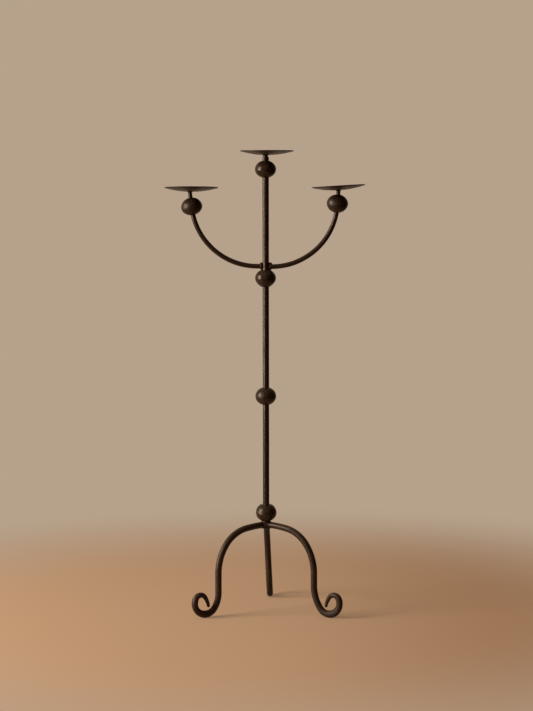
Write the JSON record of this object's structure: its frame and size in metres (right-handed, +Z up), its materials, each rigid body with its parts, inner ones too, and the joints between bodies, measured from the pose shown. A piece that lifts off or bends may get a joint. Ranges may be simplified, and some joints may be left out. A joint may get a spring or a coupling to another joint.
{
  "type": "torchere candle stand",
  "caption": "Tall floor candle stand in dark forged iron: upright bar with oval knops, curved side arms, dished drip pans and arched legs ending in scrolls.",
  "frame": {"origin": "on the floor, under the middle of the stem", "axes": "+Z up along the stem; +X towards the right-hand light; +Y towards the back leg, so the pictured front is the -Y side"},
  "size_m": [0.4959, 0.3248, 1.1475],
  "materials": {
    "bar_iron": "forged round bar, blackened and waxed, brown-black, half matt with hammer marks",
    "knop_iron": "forged knops, blackened and waxed, a little smoother than the bars",
    "pan_iron": "dished sheet, blackened and waxed, mottled",
    "rivet_iron": "blackened rivet head"
  },
  "bodies": {
    "root": {"stem_bar": "bar_iron", "leg_hub": "bar_iron", "leg_left": "bar_iron", "leg_right": "bar_iron", "leg_back": "bar_iron", "knop_lower": "knop_iron", "knop_middle": "knop_iron", "knop_upper": "knop_iron", "knop_top": "knop_iron", "knop_left": "knop_iron", "knop_right": "knop_iron", "arm_collar": "bar_iron", "arm_left": "bar_iron", "arm_right": "bar_iron", "pan_top": "pan_iron", "pan_left": "pan_iron", "pan_right": "pan_iron", "rivet_top": "rivet_iron", "rivet_left": "rivet_iron", "rivet_right": "rivet_iron"}
  },
  "joints": []
}
